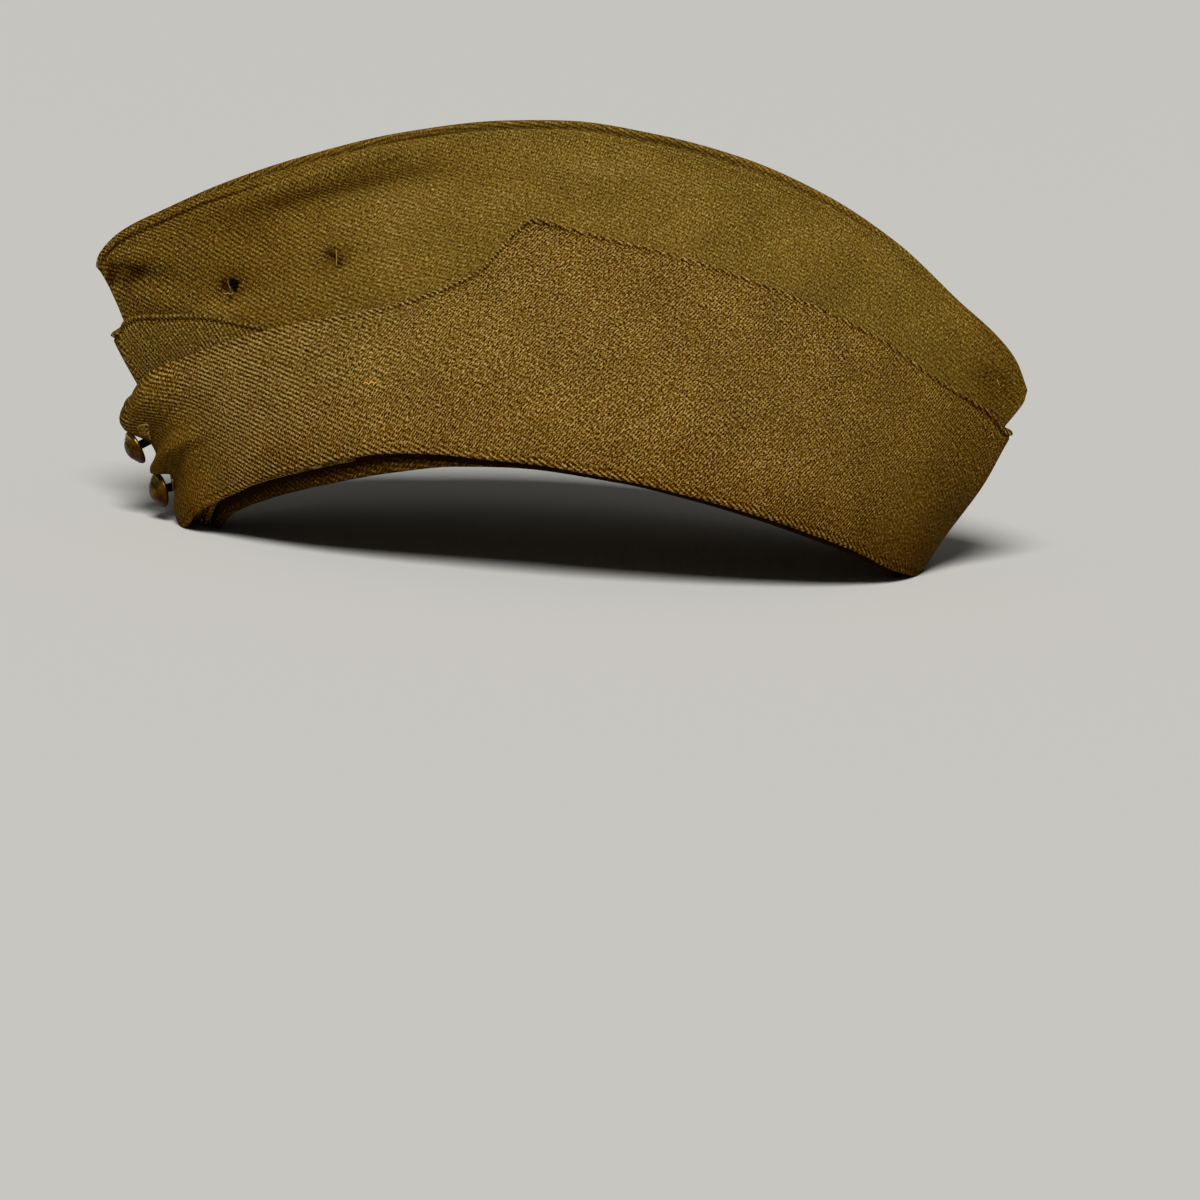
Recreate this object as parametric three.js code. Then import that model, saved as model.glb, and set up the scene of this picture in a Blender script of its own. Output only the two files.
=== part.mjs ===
// Field service cap: a soft wool side cap with a folded-in crown top, a turned-up peak and a
// turned-up curtain that is buttoned at the centre front.
// Millimetres. +X runs from front to back, -Y is the wearer's left, +Z is up, and z = 0 is the
// surface that the cap rests on. Places on the cap are given by
//   turn   degrees round the rim: 0 at the centre front, 90 at the side, 180 at the centre back
//   share  part of the height, from 0 at the rim to 1 at the crown ridge
//   side   -1 for the wearer's left, +1 for the right
import * as THREE from 'three';

// Driving dimensions
const CROWN_LENGTH = 277.6;
const RIM_FRONT = -99;
const RIM_BACK = 106;
const PLY = 1.6;
const PEAK_PLY = 1.8;
const CURTAIN_PLY = 2.1;
const SEAM_GAP = 0.3;
const LAYER_GAP = 0.6;
const VALLEY_DEPTH = 24;
const VALLEY_ROUND = 0.14;
const RIDGE_FACE = 2.4;
const REST_SQUASH = 2.5;
const REST_REACH = 6;
const BUTTON_RADIUS = 5.2;

// Turns at which the swells of the centre front begin to fade and have ended
const STAND_FULL = 10;
const STAND_END = 34;

// How full the plan outline is: 0.5 is an ellipse, 1 comes to sharp ends
const PLAN_RIM_FRONT = 0.6;
const PLAN_RIM_BACK = 0.5;
const PLAN_RIDGE = 0.95;

// Seams at the centre front and back, side view
const SEAMS = [
  { share: 0.00, front: RIM_FRONT, back: RIM_BACK },
  { share: 0.20, front: -106.2, back: 113.5 },
  { share: 0.50, front: -117.8, back: 124.8 },
  { share: 0.80, front: -129.8, back: 133.2 },
  { share: 0.86, front: -131.5, back: 135.5 },
  { share: 0.925, front: -133.9, back: 137.7 },
  { share: 0.955, front: -135.9, back: 138.3 },
  { share: 1.00, front: -CROWN_LENGTH / 2, back: CROWN_LENGTH / 2 },
];

// Lower edge of the body, arched over the ears
const RIM = [
  { x: -99, z: 0 },
  { x: -96, z: 5 },
  { x: -84, z: 14 },
  { x: -66, z: 22.5 },
  { x: -46, z: 29.3 },
  { x: -26, z: 33.5 },
  { x: -8, z: 34.6 },
  { x: 20, z: 32 },
  { x: 40, z: 27.8 },
  { x: 60, z: 22 },
  { x: 75, z: 16.4 },
  { x: 88, z: 10.6 },
  { x: 99, z: 4 },
  { x: 106, z: 0 },
];

// Crown ridge, side view
const RIDGE = [
  { x: -138.8, z: 75 },
  { x: -136, z: 80 },
  { x: -131, z: 86 },
  { x: -120, z: 92.7 },
  { x: -103, z: 101.2 },
  { x: -80, z: 110.2 },
  { x: -50, z: 119 },
  { x: -20, z: 124 },
  { x: 0, z: 125 },
  { x: 25, z: 122.5 },
  { x: 50, z: 117.5 },
  { x: 75, z: 108.5 },
  { x: 98, z: 95.5 },
  { x: 117, z: 80 },
  { x: 130, z: 69.5 },
  { x: 135, z: 63.5 },
  { x: 138.8, z: 55 },
];

// Half width of the body at mid length
const GIRTH = [
  { share: 0.00, half: 78 },
  { share: 0.13, half: 76.5 },
  { share: 0.26, half: 73 },
  { share: 0.39, half: 66 },
  { share: 0.52, half: 56 },
  { share: 0.65, half: 46.5 },
  { share: 0.77, half: 36.5 },
  { share: 0.90, half: 26 },
  { share: 1.00, half: 17 },
];

// Lower and upper edges of the turned-up curtain, as shares of the height
const CURTAIN_EDGES = [
  { turn: -12, low: 0.056, top: 0.500 },
  { turn: 0, low: 0.048, top: 0.545 },
  { turn: 10, low: 0.042, top: 0.548 },
  { turn: 27, low: 0.046, top: 0.538 },
  { turn: 41, low: 0.062, top: 0.520 },
  { turn: 59, low: 0.064, top: 0.478 },
  { turn: 71, low: 0.040, top: 0.508 },
  { turn: 78, low: 0.024, top: 0.552 },
  { turn: 83, low: 0.018, top: 0.635 },
  { turn: 87, low: 0.016, top: 0.702 },
  { turn: 93, low: 0.012, top: 0.676 },
  { turn: 106, low: 0.010, top: 0.650 },
  { turn: 130, low: 0.010, top: 0.667 },
  { turn: 150, low: 0.012, top: 0.705 },
  { turn: 166, low: 0.030, top: 0.760 },
  { turn: 180, low: 0.050, top: 0.800 },
];

// Upper edge of the peak, turned up between the body and the curtain
const PEAK_EDGE = [
  { turn: 0, top: 0.770 },
  { turn: 10, top: 0.752 },
  { turn: 24, top: 0.680 },
  { turn: 32, top: 0.638 },
  { turn: 41, top: 0.557 },
  { turn: 48, top: 0.480 },
  { turn: 56, top: 0.250 },
];
const PEAK_SPAN = 56;
const PEAK_ROOT = 0.07;
const PEAK_STAND = 2.4;
const PEAK_BEND = 0.22;
const PEAK_FREE = 0.78;

// Both curtains run past the centre front, where the left one laps over the right one's end
const CURTAIN_END = -12;
const LAP_FULL = 14;
const LAP_END = 26;

// A curtain's distance from the body at its two edges, and the turn it takes to leave the peak
const LOWER_STAND = 1.1;
const UPPER_STAND = 0.1;
const STEP_OFF = 12;

// Cloth of the left curtain standing out at the centre front, in the swells beside the buttons
const FRONT_STAND = [
  { share: 0.04, out: 1.4 },
  { share: 0.113, out: 1.5 },
  { share: 0.155, out: 0.2 },
  { share: 0.24, out: 0 },
  { share: 0.268, out: 3.0 },
  { share: 0.29, out: 2.4 },
  { share: 0.32, out: 0.8 },
  { share: 0.35, out: 0 },
  { share: 0.398, out: 0 },
  { share: 0.441, out: 4.4 },
  { share: 0.465, out: 4.5 },
  { share: 0.49, out: 4.0 },
  { share: 0.525, out: 1.5 },
  { share: 0.548, out: 0.3 },
  { share: 0.56, out: 0 },
];

// Dents and swells of the body, side view: place, half length, half width, slope and depth
const DENTS = [
  { side: -1, x: -116, z: 73, length: 22, width: 3, slope: 4, depth: -2.2 },
  { side: -1, x: -98, z: 67, length: 34, width: 6, slope: 4, depth: 0.9 },
  { side: -1, x: -66, z: 104, length: 42, width: 6, slope: 20, depth: -1.8 },
  { side: -1, x: 128, z: 57, length: 7, width: 4, slope: -40, depth: -1.2 },
  { side: 1, x: -112, z: 74, length: 20, width: 3.5, slope: 2, depth: -1.6 },
  { side: 1, x: -40, z: 108, length: 50, width: 7, slope: 8, depth: -1.6 },
];

// The two buttons at the centre front: place, downward tilt and turn toward the left
const BUTTONS = [
  { name: 'button_upper', x: -124.2, y: 0, z: 21.6, down: 27, left: 22 },
  { name: 'button_lower', x: -116.4, y: 0, z: 9.4, down: 13, left: 27 },
];

// Every sheet has its columns at whole multiples of one turn, so that layers bend alike
const COLUMN = 4;
const CROWN_END = 12;
const SIDE_ROWS = [0, 0.13, 0.27, 0.4, 0.53, 0.66, 0.78, 0.9, 1];
const CROWN_ROWS = [0, 0.22, 0.4, 0.5, 0.6, 0.78, 1];
const PEAK_ROWS = [0, 0.3, 0.6, 0.8, 1];
const CURTAIN_ROWS = [0, 0.13, 0.25, 0.386, 0.443, 0.52, 0.61, 0.704, 0.79, 0.85, 0.9, 0.955, 1];

const cloth = new THREE.MeshStandardMaterial({ color: 0x6a5325, roughness: 0.95, metalness: 0 });
const bronze = new THREE.MeshStandardMaterial({ color: 0x5c4722, roughness: 0.5, metalness: 0.8 });

// A smooth curve through a table's rows that never overshoots them
function through(rows, key, value) {
  const at = rows.map((row) => row[key]);
  const level = rows.map((row) => row[value]);
  const last = at.length - 1;
  const rise = at.slice(1).map((end, i) => (level[i + 1] - level[i]) / (end - at[i]));
  const slope = at.map((_, i) => {
    if (i === 0) return rise[0];
    if (i === last) return rise[last - 1];
    if (rise[i - 1] * rise[i] <= 0) return 0;
    const before = at[i] - at[i - 1];
    const after = at[i + 1] - at[i];
    const near = 2 * after + before;
    const far = after + 2 * before;
    return (near + far) / (near / rise[i - 1] + far / rise[i]);
  });
  return (place) => {
    const x = THREE.MathUtils.clamp(place, at[0], at[last]);
    let i = 0;
    while (i < last - 1 && x > at[i + 1]) i += 1;
    const step = at[i + 1] - at[i];
    const t = (x - at[i]) / step;
    const bend = (1 - t) * (1 - t) * t * step * slope[i] - t * t * (1 - t) * step * slope[i + 1];
    return level[i] + (level[i + 1] - level[i]) * t * t * (3 - 2 * t) + bend;
  };
}

const frontSeam = through(SEAMS, 'share', 'front');
const backSeam = through(SEAMS, 'share', 'back');
const rimHeight = through(RIM, 'x', 'z');
const ridgeHeight = through(RIDGE, 'x', 'z');
const halfWidth = through(GIRTH, 'share', 'half');
const curtainLow = through(CURTAIN_EDGES, 'turn', 'low');
const curtainTop = through(CURTAIN_EDGES, 'turn', 'top');
const peakTop = through(PEAK_EDGE, 'turn', 'top');
const frontStand = through(FRONT_STAND, 'share', 'out');

const { lerp, clamp, degToRad, smoothstep } = THREE.MathUtils;

// The body's outer surface, without dents
function bodyPoint(side, turn, share) {
  const angle = degToRad(turn);
  const along = (1 - Math.cos(angle)) / 2;
  const x = lerp(frontSeam(share), backSeam(share), along);
  const rim = rimHeight(lerp(RIM_FRONT, RIM_BACK, along));
  const ridge = ridgeHeight(lerp(-CROWN_LENGTH / 2, CROWN_LENGTH / 2, along));
  const z = lerp(rim, ridge, share);
  const rimPlan = lerp(PLAN_RIM_FRONT, PLAN_RIM_BACK, along);
  const plan = Math.abs(Math.sin(angle)) ** (2 * lerp(rimPlan, PLAN_RIDGE, share));
  return new THREE.Vector3(x, side * Math.sign(Math.sin(angle)) * halfWidth(share) * plan, z);
}

// Outward direction of the body, taken over a few degrees so that it turns gently at the ends
function outward(side, turn, share) {
  const reach = 3.5;
  const low = clamp(share - 0.03, 0, 1);
  const high = clamp(share + 0.03, 0, 1);
  const round = bodyPoint(side, turn + reach, share).sub(bodyPoint(side, turn - reach, share));
  const up = bodyPoint(side, turn, high).sub(bodyPoint(side, turn, low));
  return round.cross(up).multiplyScalar(-side).normalize();
}

// Height of the dents and swells at a point of one side
function dentAt(side, point) {
  let depth = 0;
  for (const dent of DENTS.filter((row) => row.side === side)) {
    const slope = degToRad(dent.slope);
    const dx = point.x - dent.x;
    const dz = point.z - dent.z;
    const along = (dx * Math.cos(slope) + dz * Math.sin(slope)) / dent.length;
    const across = (dz * Math.cos(slope) - dx * Math.sin(slope)) / dent.width;
    depth += dent.depth * Math.exp(-along * along - across * across);
  }
  return depth;
}

// Cloth pressed flat where it meets the surface below
function rested(point) {
  const z = point.z - REST_SQUASH * Math.exp(-Math.max(point.z, 0) / REST_REACH);
  return new THREE.Vector3(point.x, point.y, Math.max(0, z));
}

// A point of a layer that lies a given distance outside the body
function layerPoint(side, turn, share, lift) {
  return rested(bodyPoint(side, turn, share).addScaledVector(outward(side, turn, share), lift));
}

// A closed sheet between two faces, each a function of the turn and of t from 0 below to 1 above
function sheet(name, span, rows, outer, inner) {
  const up = rows.length - 1;
  const across = Math.round((span[1] - span[0]) / COLUMN);
  const places = [];
  for (const face of [outer, inner]) {
    for (let i = 0; i <= across; i += 1) {
      for (const t of rows) places.push(...face(span[0] + i * COLUMN, t).toArray());
    }
  }
  const row = up + 1;
  const back = (across + 1) * row;
  const index = [];
  const quad = (a, b, c, d) => index.push(a, b, c, a, c, d);
  for (let i = 0; i < across; i += 1) {
    for (let j = 0; j < up; j += 1) {
      const k = i * row + j;
      quad(k, k + row, k + row + 1, k + 1);
      quad(back + k, back + k + 1, back + k + row + 1, back + k + row);
    }
    const low = i * row;
    const high = low + up;
    quad(low, back + low, back + low + row, low + row);
    quad(high, high + row, back + high + row, back + high);
  }
  for (let j = 0; j < up; j += 1) {
    const end = across * row + j;
    quad(j, j + 1, back + j + 1, back + j);
    quad(end, back + end, back + end + 1, end + 1);
  }
  return closedMesh(name, places, index, cloth);
}

// A mesh whose faces point out, whichever way its grid ran
function closedMesh(name, places, index, material) {
  const corner = (k) => new THREE.Vector3().fromArray(places, 3 * k);
  let volume = 0;
  for (let k = 0; k < index.length; k += 3) {
    const [a, b, c] = [0, 1, 2].map((n) => corner(index[k + n]));
    volume += a.dot(b.cross(c));
  }
  const geometry = new THREE.BufferGeometry();
  geometry.setAttribute('position', new THREE.Float32BufferAttribute(places, 3));
  geometry.setIndex(volume > 0 ? index : index.slice().reverse());
  geometry.computeVertexNormals();
  const mesh = new THREE.Mesh(geometry, material);
  mesh.name = name;
  return mesh;
}

// One side of the body, from the centre front seam to the centre back seam
function sidePanel(name, side) {
  const keepSide = (point) => {
    point.y = side * Math.max(SEAM_GAP / 2, side * point.y);
    return point;
  };
  const face = (lift) => (turn, share) => {
    const point = bodyPoint(side, turn, share);
    const clear = smoothstep(1 - share, 0, 0.05) * smoothstep(Math.abs(point.y), 0.5, 6);
    const depth = dentAt(side, point) * clear;
    return keepSide(rested(point.addScaledVector(outward(side, turn, share), depth + lift)));
  };
  const inner = (turn, share) => {
    if (share < 1) return face(-PLY)(turn, share);
    const point = face(0)(turn, 1);
    point.z -= RIDGE_FACE;
    return point;
  };
  return sheet(name, [0, 180], SIDE_ROWS, face(0), inner);
}

// The crown top, folded down between the two ridges
function crownGusset() {
  const top = (turn, t) => {
    const ridge = bodyPoint(1, turn, 1);
    const half = ridge.y - SEAM_GAP;
    const across = 2 * t - 1;
    const depth = VALLEY_DEPTH * (half / halfWidth(1)) ** 0.7;
    const fold = 1 - Math.hypot(across, VALLEY_ROUND) / Math.hypot(1, VALLEY_ROUND);
    return new THREE.Vector3(ridge.x, half * across, ridge.z - depth * fold);
  };
  const under = (turn, t) => {
    const point = top(turn, t);
    point.z -= RIDGE_FACE;
    return point;
  };
  return sheet('crown_gusset', [CROWN_END, 180 - CROWN_END], CROWN_ROWS, top, under);
}

// Distance of the peak's inner face from the body
function peakLift(share) {
  return LAYER_GAP + PEAK_STAND * smoothstep(share, PEAK_BEND, PEAK_FREE);
}

// The peak, turned up against the front of the crown
function peak() {
  const face = (lift) => (turn, t) => {
    const share = lerp(PEAK_ROOT, peakTop(Math.abs(turn)), t);
    return layerPoint(-1, turn, share, peakLift(share) + lift);
  };
  return sheet('peak', [-PEAK_SPAN, PEAK_SPAN], PEAK_ROWS, face(PEAK_PLY), face(0));
}

// Distance of a curtain's inner face from the body: over the peak, over the other curtain's end
// at the front, and otherwise close at the upper edge and a little away at the lower one
function curtainLift(turn, share, t, lapsOver) {
  const free = LAYER_GAP + lerp(LOWER_STAND, UPPER_STAND, t);
  const overPeak = 1 - smoothstep(turn, PEAK_SPAN, PEAK_SPAN + STEP_OFF);
  const onPeak = peakLift(share) + PEAK_PLY + LAYER_GAP;
  const lift = lerp(free, onPeak, overPeak);
  if (!lapsOver) return lift;
  const overEnd = 1 - smoothstep(turn, LAP_FULL, LAP_END);
  const atFront = 1 - smoothstep(turn, STAND_FULL, STAND_END);
  return lift + (CURTAIN_PLY + LAYER_GAP) * overEnd + frontStand(share) * atFront;
}

// One half of the turned-up curtain
function curtain(name, side, lapsOver) {
  const face = (outside) => (turn, t) => {
    const share = lerp(curtainLow(turn), curtainTop(turn), t);
    const lift = curtainLift(turn, share, t, lapsOver) + outside;
    const point = layerPoint(side, turn, share, lift);
    if (turn === 180) point.y = side * SEAM_GAP / 2;
    return point;
  };
  return sheet(name, [CURTAIN_END, 180], CURTAIN_ROWS, face(CURTAIN_PLY), face(0));
}

// A domed button on a short shank
function button({ name, x, y, z, down, left }) {
  const profile = [
    [0, 2.3],
    [2.2, 2.1],
    [4.0, 1.4],
    [5.0, 0.4],
    [BUTTON_RADIUS, -0.5],
    [4.9, -1.1],
    [1.5, -1.2],
    [1.3, -2.4],
    [0, -2.4],
  ].map(([radius, height]) => new THREE.Vector2(radius, height));
  const geometry = new THREE.LatheGeometry(profile.reverse(), 20);
  const mesh = new THREE.Mesh(geometry, bronze);
  mesh.name = name;
  const tilt = degToRad(down);
  const swing = degToRad(left);
  const facing = new THREE.Vector3(
    -Math.cos(tilt) * Math.cos(swing),
    -Math.cos(tilt) * Math.sin(swing),
    -Math.sin(tilt),
  );
  mesh.quaternion.setFromUnitVectors(new THREE.Vector3(0, 1, 0), facing);
  mesh.position.set(x, y, z);
  return mesh;
}

const cap = new THREE.Group();
cap.add(sidePanel('side_panel_left', -1));
cap.add(sidePanel('side_panel_right', 1));
cap.add(crownGusset());
cap.add(peak());
cap.add(curtain('curtain_right', 1, false));
cap.add(curtain('curtain_left', -1, true));
for (const row of BUTTONS) cap.add(button(row));

export default cap;
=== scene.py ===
import bmesh
import bpy
import numpy as np
from mathutils import Matrix, Vector


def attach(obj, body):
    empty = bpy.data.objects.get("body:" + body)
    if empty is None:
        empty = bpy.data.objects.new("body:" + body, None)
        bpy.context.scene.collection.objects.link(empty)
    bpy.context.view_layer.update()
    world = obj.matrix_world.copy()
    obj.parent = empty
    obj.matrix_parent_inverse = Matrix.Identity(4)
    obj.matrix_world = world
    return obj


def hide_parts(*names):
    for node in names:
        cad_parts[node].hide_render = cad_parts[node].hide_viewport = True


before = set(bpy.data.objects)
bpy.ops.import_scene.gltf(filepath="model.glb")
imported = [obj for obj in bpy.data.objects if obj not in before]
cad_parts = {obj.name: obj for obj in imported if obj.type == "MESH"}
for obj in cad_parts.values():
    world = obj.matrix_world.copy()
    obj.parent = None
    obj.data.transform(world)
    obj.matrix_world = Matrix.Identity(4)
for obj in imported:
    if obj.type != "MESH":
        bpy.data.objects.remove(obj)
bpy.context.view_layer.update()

# Side panels
# The two sides of the body, cut from khaki wool serge and seamed at the centre front and back.
# The left one keeps two holes where a badge was pinned, a crease by the nose and soft dents.

# The two end seams in side view: share and x
FRONT_SEAM = [
    (0, -99), (0.2, -106.2), (0.5, -117.8), (0.797, -129.5), (0.851, -131.2), (0.913, -133.5),
    (0.94, -134.8), (0.963, -135.7), (0.989, -137.3), (1, -138.0),
]
BACK_SEAM = [
    (0, 106), (0.2, 113.5), (0.5, 124.8), (0.8, 133.2), (0.86, 135.5), (0.925, 137.7),
    (0.955, 138.3), (1, 138.8),
]
# The arch of the rim and the line of the ridge in side view: x and z
RIM = [
    (-99, 0), (-96, 5), (-84, 14), (-66, 22.5), (-46, 29.3), (-26, 33.5), (-8, 34.6),
    (20, 32), (40, 27.8), (60, 22), (75, 16.4), (88, 10.6), (99, 4), (106, 0),
]
RIDGE = [
    (-138.8, 74.8), (-138.7, 76.2), (-138.2, 78.2), (-137.1, 80.2), (-135.4, 82.4),
    (-133.4, 84.5), (-129.2, 87.7), (-120, 92.7), (-103, 101.2), (-80, 110.2), (-50, 119),
    (-20, 124), (0, 125), (25, 122.5), (50, 117.5), (75, 108.5), (98, 95.5), (117, 80),
    (130, 69.5), (135, 63.5), (138.8, 55),
]
# Half the width at the side: share and width
GIRTH = [
    (0, 78), (0.13, 76.5), (0.26, 73), (0.39, 66), (0.52, 56), (0.65, 46.5), (0.77, 36.5),
    (0.9, 26), (1, 17),
]
# Half the power of the sine that gives the plan its form, at the rim's front, at the rim's back
# and at the ridge: the smaller it is, the fuller the plan
FULL_FRONT, FULL_BACK, FULL_RIDGE = 0.6, 0.5, 0.95
# Thickness of the serge with its nap
PLY = 1.6
# Radius of the rolled seam edge along the ridge
RIDGE_ROLL = 1.2
# How far the cloth of a ridge hangs straight down behind the roll, to the seam of the gusset
RIDGE_FALL = 1.5
# How far the left ridge hangs below the right one: turn and distance
LEFT_HANGS = [(38, 0), (50, 0.6), (90, -0.5), (124, 0.8), (140, 0)]
# How deep the thread of the two buttons draws all layers in at the centre front: share and depth
FRONT_PINCH = [
    (0.145, 0), (0.185, 1.1), (0.225, 1.7), (0.26, 0), (0.29, 0), (0.325, 0.6), (0.36, 0.5),
    (0.41, 0),
]
# Each dent: side, x, z, half length, half width, slope in degrees, depth
DENTS = [
    (-1, -119, 80, 24, 4.5, 8, 1.2),
    (-1, -133, 73, 14, 2.3, 3, -2.8),
    (-1, -98, 65, 26, 4, -4, 1.8),
    (-1, -97, 91.5, 10, 5, 20, -1.5),
    (-1, -70, 107.5, 34, 4, 19, -3),
    (-1, -20, 115, 30, 4, 8, -1.5),
    (-1, 128, 57, 7, 4, -40, -1.6),
    (1, -114, 74, 20, 3.5, 2, -1.6),
    (1, -40, 108, 50, 6, 8, -1.8),
]


def mix(low, high, part):
    """The value a given part of the way from low to high."""
    return low + (high - low) * part


def ease(value, low, high):
    """A smooth step from 0 at low to 1 at high: 3t^2 - 2t^3."""
    part = np.clip((value - low) / (high - low), 0, 1)
    return part * part * (3 - 2 * part)


def through(rows, place):
    """A curve through (place, value) rows that never overshoots them: cubic pieces that share
    a slope at each row, the weighted harmonic mean of the rises on its two sides."""
    at, level = np.array(rows, float).T
    step = np.diff(at)
    rise = np.diff(level) / step
    before, after = rise[:-1], rise[1:]
    near = 2 * step[1:] + step[:-1]
    far = step[1:] + 2 * step[:-1]
    same = before * after > 0
    safe_before = np.where(same, before, 1)
    safe_after = np.where(same, after, 1)
    inner = np.where(same, (near + far) / (near / safe_before + far / safe_after), 0)
    slope = np.concatenate([rise[:1], inner, rise[-1:]])
    x = np.clip(place, at[0], at[-1])
    k = np.clip(np.searchsorted(at, x, side="left") - 1, 0, len(step) - 1)
    t = (x - at[k]) / step[k]
    bend = (1 - t) ** 2 * t * step[k] * slope[k] - t * t * (1 - t) * step[k] * slope[k + 1]
    return level[k] + (level[k + 1] - level[k]) * t * t * (3 - 2 * t) + bend


def body(side, turn, share):
    """The body's outer face without its dents: lengthwise between the two seams by the cosine
    of the turn, upwards in a straight share from rim to ridge, and sideways the half width of
    the girth times a power of the sine that draws the plan to a point towards the ridge."""
    angle = np.radians(turn)
    along = (1 - np.cos(angle)) / 2
    x = mix(through(FRONT_SEAM, share), through(BACK_SEAM, share), along)
    rim = through(RIM, mix(RIM[0][0], RIM[-1][0], along))
    ridge = through(RIDGE, mix(RIDGE[0][0], RIDGE[-1][0], along))
    fullness = 2 * mix(mix(FULL_FRONT, FULL_BACK, along), FULL_RIDGE, share)
    half = through(GIRTH, share) * np.abs(np.sin(angle)) ** fullness
    return np.stack([x, side * np.sign(np.sin(angle)) * half, mix(rim, ridge, share)], axis=-1)


def unit(vectors):
    """Vectors scaled to length one."""
    return vectors / np.maximum(np.linalg.norm(vectors, axis=-1, keepdims=True), 1e-9)


def outward(side, turn, share):
    """The body's outward direction: the cross product of its differences over seven degrees
    and six hundredths of the height."""
    round_rim = body(side, turn + 3.5, share) - body(side, turn - 3.5, share)
    low, high = np.clip(share - 0.03, 0, 1), np.clip(share + 0.03, 0, 1)
    upwards = body(side, turn, high) - body(side, turn, low)
    return unit(np.cross(round_rim, upwards) * -side)


def rested(points):
    """Cloth pressed flat where it meets the floor: the height less 2.5 mm, which die out
    exponentially in the next 6 mm upwards, and never below the floor."""
    z = points[..., 2]
    z = np.maximum(z - 2.5 * np.exp(-np.maximum(z, 0) / 6), 0)
    return np.concatenate([points[..., :2], z[..., None]], axis=-1)


def pinched(turn, share):
    """How far the buttons draw the cloth in, fading from 8 to 24 degrees round the rim."""
    return through(FRONT_PINCH, share) * (1 - ease(np.abs(turn), 8, 24))


def layer(side, turn, share, lift):
    """A face that lies a given distance outside the body."""
    out = (lift - pinched(turn, share))[..., None] * outward(side, turn, share)
    return rested(body(side, turn, share) + out)


def dented(side, points):
    """Height of the dents: a sum of bell shapes turned to their slopes in side view."""
    depth = np.zeros(points.shape[:-1])
    for x, z, length, width, slope, deep in [row[1:] for row in DENTS if row[0] == side]:
        lean = np.radians(slope)
        dx, dz = points[..., 0] - x, points[..., 2] - z
        along = (dx * np.cos(lean) + dz * np.sin(lean)) / length
        across = (dz * np.cos(lean) - dx * np.sin(lean)) / width
        depth += deep * np.exp(-along**2 - across**2)
    return depth


# The grid on which cloth is unrolled: steps to a degree, steps up the whole height, the turn
# that it starts at, and its columns at the nose, at the end of the fold there and at the side
DEGREE_STEPS, HEIGHT_STEPS, FIRST_TURN = 2, 60, -60
FOLD_TURN = 14
NOSE, FOLD_END, MIDDLE = [(turn - FIRST_TURN) * DEGREE_STEPS for turn in (0, FOLD_TURN, 90)]


def cloth_at(side, turn, share, lift, base, grain, eased, swing):
    """Cloth coordinates in millimetres at places of a layer, as if it were rolled out flat. The
    row at the base share is unrolled as a plane curve that bends by its curvature within the
    surface, less the eased part that was steamed into shape. Each column leaves it at the angle
    that it has on the cap. Lift is the layer's distance from the body in front and behind. The
    u axis runs along the warp, turned by the grain angle in degrees. Swing turns it by so many
    degrees more in front, dying out between two turns round the rim, as where the cloth was
    pulled. Places between grid points are mixed."""
    columns = (180 - FIRST_TURN) * DEGREE_STEPS
    turns = np.linspace(FIRST_TURN, 180, columns + 1)
    turns, shares = np.meshgrid(turns, np.linspace(0, 1, HEIGHT_STEPS + 1), indexing="ij")
    stand = mix(lift[1], lift[0], 1 - ease(np.abs(turns), 14, 68))
    grid = body(side, turns, shares) + stand[..., None] * outward(side, turns, shares)
    row = round(base * HEIGHT_STEPS)
    step = np.gradient(grid[:, row], axis=0)
    length = np.linalg.norm(step, axis=-1)
    tangent = unit(step)
    rise = unit(np.gradient(grid, axis=1)[:, row])
    normal = unit(np.cross(tangent, rise))
    bend = (np.gradient(tangent, axis=0) * np.cross(normal, tangent)).sum(-1)
    corner = np.arccos(np.clip((tangent * rise).sum(-1), -1, 1))
    # Near the centre front the cloth is taken as two flat sides of a fold
    at = turns[:, row]
    folded = np.abs(at) < FOLD_TURN
    fold = corner[FOLD_END]
    corner = np.where(folded, np.where(at < 0, np.pi - fold, fold), corner)
    bend[folded] = 0
    bend[NOSE] = np.pi - 2 * fold
    heading = np.cumsum(bend) * (1 - eased)
    heading += np.radians(swing[0]) * (1 - ease(at, swing[1], swing[2]))
    heading -= heading[MIDDLE]
    lean = heading + corner
    start = np.cumsum(length[:, None] * np.stack([np.cos(heading), np.sin(heading)], -1), axis=0)
    start -= start[MIDDLE]
    climb = np.cumsum(np.linalg.norm(np.diff(grid, axis=1, prepend=grid[:, :1]), axis=-1), axis=1)
    climb -= climb[:, row : row + 1]
    flat = start[:, None] + climb[..., None] * np.stack([np.cos(lean), np.sin(lean)], -1)[:, None]
    flat *= np.array([-side, 1.0])
    angle = np.radians(grain)
    u = flat[..., 0] * np.cos(angle) + flat[..., 1] * np.sin(angle)
    v = flat[..., 1] * np.cos(angle) - flat[..., 0] * np.sin(angle)
    flat = np.stack([u, v], -1)
    i = np.clip((turn - FIRST_TURN) * DEGREE_STEPS, 0, columns - 0.001)
    j = np.clip(share * HEIGHT_STEPS, 0, HEIGHT_STEPS - 0.001)
    i0, j0 = i.astype(int), j.astype(int)
    di, dj = (i - i0)[..., None], (j - j0)[..., None]
    low = mix(flat[i0, j0], flat[i0 + 1, j0], di)
    high = mix(flat[i0, j0 + 1], flat[i0 + 1, j0 + 1], di)
    return mix(low, high, dj)


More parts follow.
